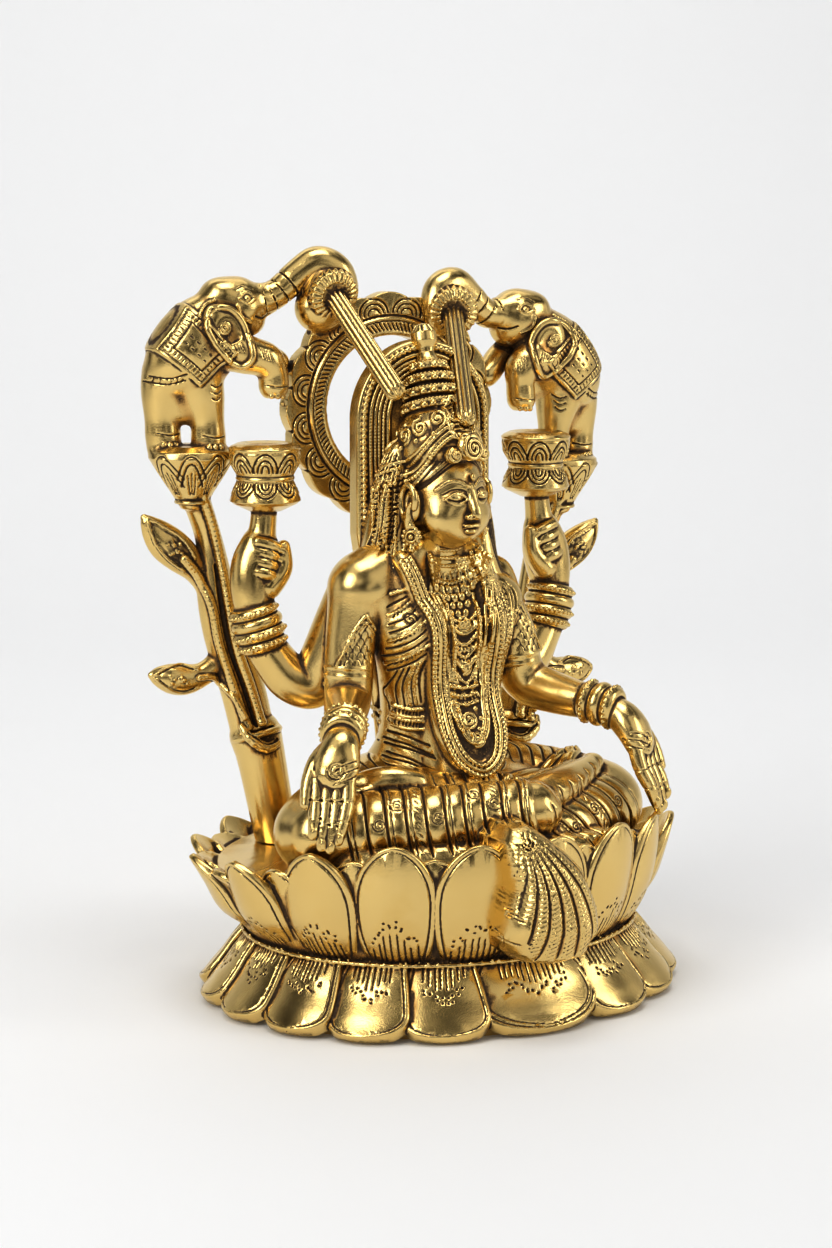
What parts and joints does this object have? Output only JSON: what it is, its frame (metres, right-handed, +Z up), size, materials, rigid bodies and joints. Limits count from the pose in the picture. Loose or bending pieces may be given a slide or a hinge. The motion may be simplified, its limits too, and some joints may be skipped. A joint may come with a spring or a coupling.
{
  "type": "lakshmi figure",
  "caption": "Cast brass seated four-armed goddess on a double lotus plinth, with elephants on lotus stems pouring water over the crown.",
  "frame": {"origin": "centre of the plinth's flat underside", "axes": "+Z up; the figure faces -Y, so its right hand is at -X"},
  "size_m": [0.1959, 0.1711, 0.2737],
  "materials": {
    "plinth_brass": "polished, with dark patina left in the engraving",
    "figure_brass": "polished, with dark patina left in the engraving",
    "arch_brass": "polished, with dark patina left in the engraving"
  },
  "bodies": {
    "root": {"lotus_plinth": "plinth_brass", "seated_figure": "figure_brass", "elephant_arch": "arch_brass"}
  },
  "joints": []
}
